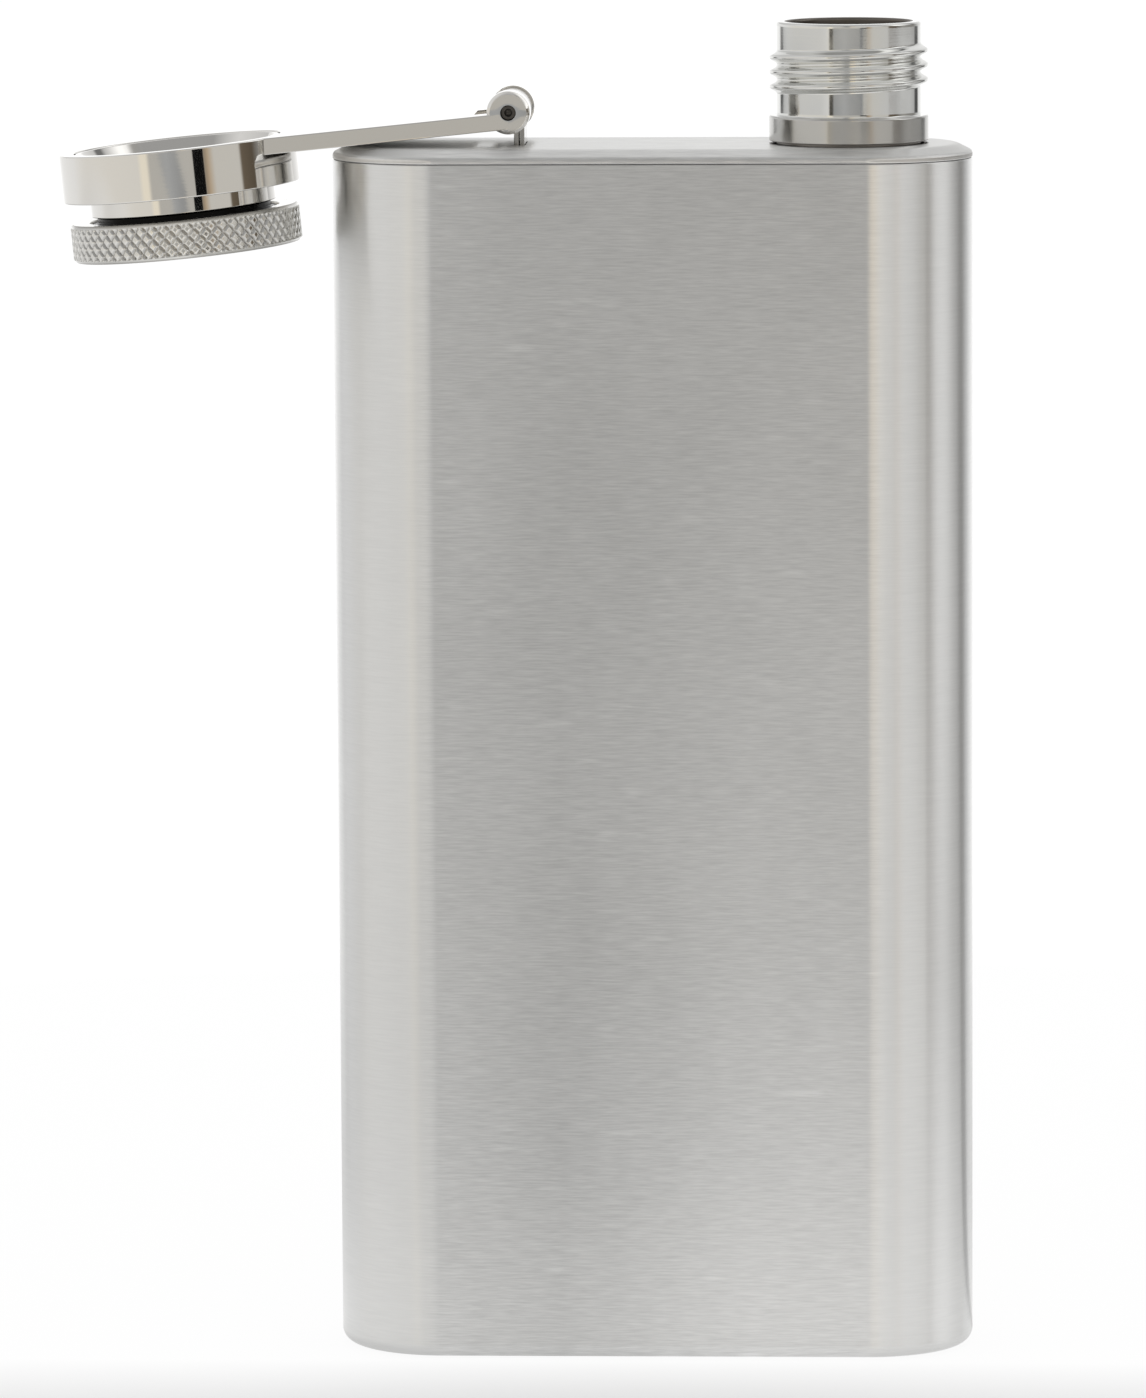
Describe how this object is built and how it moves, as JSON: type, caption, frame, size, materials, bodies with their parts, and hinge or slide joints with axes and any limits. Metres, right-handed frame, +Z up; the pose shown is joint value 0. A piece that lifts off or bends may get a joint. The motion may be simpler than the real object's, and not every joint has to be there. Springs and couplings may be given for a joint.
{
  "type": "hip flask",
  "caption": "Slim steel hip flask with a threaded neck and a captive screw cap on a hinged arm that swings over from the side.",
  "frame": {"origin": "centre of the flat underside of the base plate", "axes": "+Z up along the flask's height, +X across its width towards the neck, +Y through its thickness towards the back"},
  "size_m": [0.1, 0.026, 0.1463],
  "materials": {
    "brushed_steel": "fine brushing across the width",
    "turned_steel": "turned, semi-bright",
    "polished_nickel": "polished, warm white",
    "knurled_nickel": "diamond knurled rim, satin",
    "gasket_rubber": "matt, off-white"
  },
  "bodies": {
    "flask": {"body_shell": "brushed_steel", "base_plate": "brushed_steel", "top_plate": "brushed_steel", "neck": "turned_steel", "neck_ring": "turned_steel", "hinge_post": "turned_steel", "hinge_backing": "turned_steel"},
    "arm": {"cap_arm": "polished_nickel", "hinge_pin": "polished_nickel"},
    "cap": {"cap_sleeve": "polished_nickel", "cap_knob": "knurled_nickel", "cap_gasket": "gasket_rubber"}
  },
  "joints": [
    {"name": "lid_hinge", "type": "hinge", "parent": "flask", "child": "arm", "pos_m": [-0.0154, 0, 0.13675], "axis": [0, 1, 0], "range_deg": [0, 185.6]},
    {"name": "cap_spin", "type": "hinge", "parent": "arm", "child": "cap", "pos_m": [-0.05212, 0, 0.13315], "axis": [-0.0976, 0, 0.9952], "continuous": true}
  ]
}
